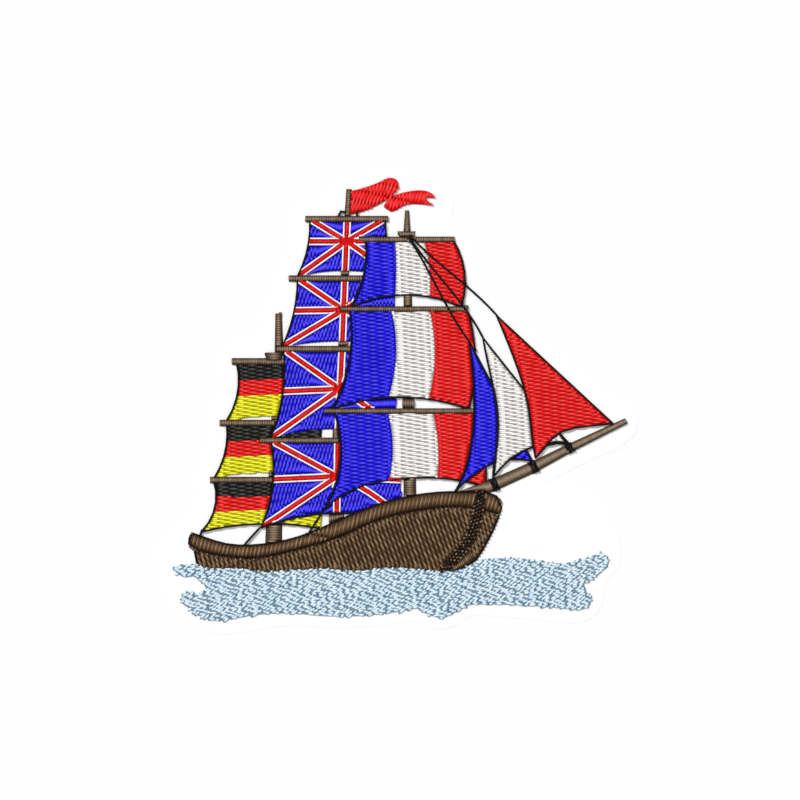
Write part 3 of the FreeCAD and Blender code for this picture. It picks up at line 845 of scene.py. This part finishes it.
def band_lines(name, thread, offsets, sewing, longest, gap):
    """Running stitch over a wide band, in lines that keep an offset from its right side.

    That side is made of the edges that climb more steeply than 30 degrees. The water cuts the
    band's foot aslant, so each line runs on there by the slant's share of its offset.
    """
    field = top_face(name)
    start, end, inward = long_sides(field, shortest=0.3)
    rising = (end - start)[:, 1] > 0.5 * np.linalg.norm(end - start, axis=1)
    start, end, inward = start[rising], end[rising], inward[rising]
    lowest = start[:, 1] == start[:, 1].min()
    ahead = (end - start) / np.linalg.norm(end - start, axis=1)[:, None]
    lines = []
    for number, offset in enumerate(offsets):
        shift = inward * offset
        foot = start - ahead * (offset * FOOT_SLANT * lowest)[:, None]
        lines.append(divided(foot + shift, end + shift, longest, gap, late=number % 2 / 2))
    begin, finish = (np.concatenate(part) for part in zip(*lines))
    turns = np.arange(len(begin))
    sewn_piece(name, thread, begin, finish, turns, sewing, field, part=f"_{thread}")


LINE = SATIN._replace(
    width=0.34, pinch=0.6, foot=0.55, lift=0.12, bed=0.35, shades=(0.25, 0.3, 0.2), spread=0.2
)
for outline in ("mizzen_outline", "main_outline", "fore_outline", "jib_outline"):
    line_field(outline, "black_thread", 0.38, LINE)
STAY = LINE._replace(reach=0.35, width=0.44, pinch=0.8)
line_field("rigging_lines", "black_thread", 0.32, STAY)

HULL_LINE = LINE._replace(
    width=0.44, pinch=0.2, foot=0.15, lift=0.0, bed=0.1, shades=(0.25, 0.4, 0.2), spread=0.6
)
line_field("hull_outline", "black_thread", 0.38, HULL_LINE, longest=1.0, gap=0.35)

STEM_BROWN = HULL_LINE._replace(lift=-0.15, shades=(0.4, 0.6, 0.3), spread=0.7)
BROWN_OFFSETS = (0.15, 0.75, 1.35, 1.95)
band_lines("stem_band", "hull_brown_thread", BROWN_OFFSETS, STEM_BROWN, longest=0.9, gap=0.1)
STEM_BLACK = STEM_BROWN._replace(width=0.38, lift=0.0, bed=0.05)
BLACK_OFFSETS = (0.45, 1.05, 1.65)
band_lines("stem_band", "black_thread", BLACK_OFFSETS, STEM_BLACK, longest=1.2, gap=0.25)

EDGING = LINE._replace(width=0.38, pinch=0.7, lift=0.0, shades=(0.9, 0.2, 0.0), under=0.55)
for sail in MAIN_SAILS:
    line_field(f"{sail}_white", "white_thread", 0.36, EDGING)


def arm_field(name, thread, arm, sewing):
    """A field of narrow arms: satin stitches across every straight stretch, a pitch apart.

    An edge no longer than about an arm's width is the end of an arm, and it is left out.
    """
    field = top_face(name)
    start, end, inward = long_sides(field, shortest=arm * 0.9)
    length = np.linalg.norm(end - start, axis=1)
    count = np.maximum((length / sewing.pitch).astype(int), 1)
    owner = np.repeat(np.arange(len(start)), count)
    step = np.arange(len(owner)) - np.repeat(np.cumsum(count) - count, count)
    share = (step + 0.5) / count[owner]
    begin = start[owner] + (end - start)[owner] * share[:, None]
    sewn_piece(name, thread, begin, begin + inward[owner] * arm, step, sewing, field)


# The arms' satin stitches end at their edges, so the painted shade of the ends darkens the edges
# and the painted highlight lightens the middle.
ARM = SATIN._replace(pitch=0.4, foot=0.3, bed=0.35, shades=(0.36, 0.7, 0.3), under=0.3)
for sail in MAIN_SAILS:
    arm_field(f"{sail}_red", "red_thread", 0.85, ARM)
print("stitches in all:", sum(stitch_counts.values()))


# %% [markdown]
# ## Ground cloth
# The thread is sewn through a stiff white twill, cut round the picture with a narrow margin. It is
# a flat sheet, so it needs no simulation: its outline and thickness are the frame's. The weave is
# far finer than the picture shows, so it is a bump, with a faint painted shade in its grooves. The
# cloth also gives off a weak light of its own, a painted light that lifts the shade between the
# fields to white.

# %% Make the ground cloth
RIB_WAVE = 9000.0  # radians in each metre of cloth
WEFT_WAVE = 21000.0
# The cloth's own weak light is painted light, which lifts its shade towards white.
PAINTED_CLOTH_LIGHT = 0.06


def twill_finish():
    """White twill: ribs at 45 degrees, crossed by the finer line of the weft."""
    material = bpy.data.materials.new("white_twill")
    finish = Finish(material)
    place = finish.node("TexCoord", output="Object")
    x = finish.node("SeparateXYZ", {}, {0: place}, output="X")
    y = finish.node("SeparateXYZ", {}, {0: place}, output="Y")
    rib = finish.node("Math", {"operation": "SINE"}, {0: (x + y) * RIB_WAVE})
    weft = finish.node("Math", {"operation": "SINE"}, {0: y * WEFT_WAVE})
    weave = rib + weft * 0.4
    relief = finish.node("Bump", {}, {"Strength": 0.4, "Distance": 0.03 * MM, "Height": weave})
    # The tint darkens in the weave's grooves: a faint painted shade.
    stops = [(0.2, (0.96, 0.96, 0.965, 1)), (0.8, (0.99, 0.99, 0.99, 1))]
    tint = finish.node("ValToRGB", {"stops": stops}, {0: weave * 0.35 + 0.5})
    surface = finish.node(
        "BsdfPrincipled",
        {},
        {
            "Base Color": tint,
            "Roughness": 0.85,
            "Normal": relief,
            "Sheen Weight": 0.1,
            # Painted light of the cloth's own.
            "Emission Color": (1, 1, 1, 1),
            "Emission Strength": PAINTED_CLOTH_LIGHT,
        },
    )
    finish.node("OutputMaterial", {}, {"Surface": surface})
    return material


cloth_points, cloth_triangles, cloth_edges, cloth_height = top_face("ground_cloth")
(x_from, y_from), (x_to, y_to) = cloth_points[cloth_edges].transpose(1, 2, 0)
cut_area = 0.5 * np.sum(x_from * y_to - x_to * y_from)
cloth_slab, cloth_faces, cloth_wall = underlay(
    cloth_points, cloth_triangles, cloth_edges, 0.0, cloth_height
)
cloth = mesh_piece(
    "ground_cloth_sheet",
    cloth_slab,
    cloth_wall,
    cloth_faces,
    np.zeros(len(cloth_wall) + len(cloth_faces), bool),
    np.full(len(cloth_slab), 0.5),
    np.zeros((len(cloth_slab), 2)),
)
cloth.data.materials.append(twill_finish())
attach(cloth, "root")
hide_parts("ground_cloth")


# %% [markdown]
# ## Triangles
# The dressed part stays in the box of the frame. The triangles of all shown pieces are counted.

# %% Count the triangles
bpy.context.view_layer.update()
triangle_total = sum(
    len(polygon.vertices) - 2
    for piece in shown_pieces()
    if piece.type == "MESH"
    for polygon in piece.data.polygons
)
print("triangles:", triangle_total)
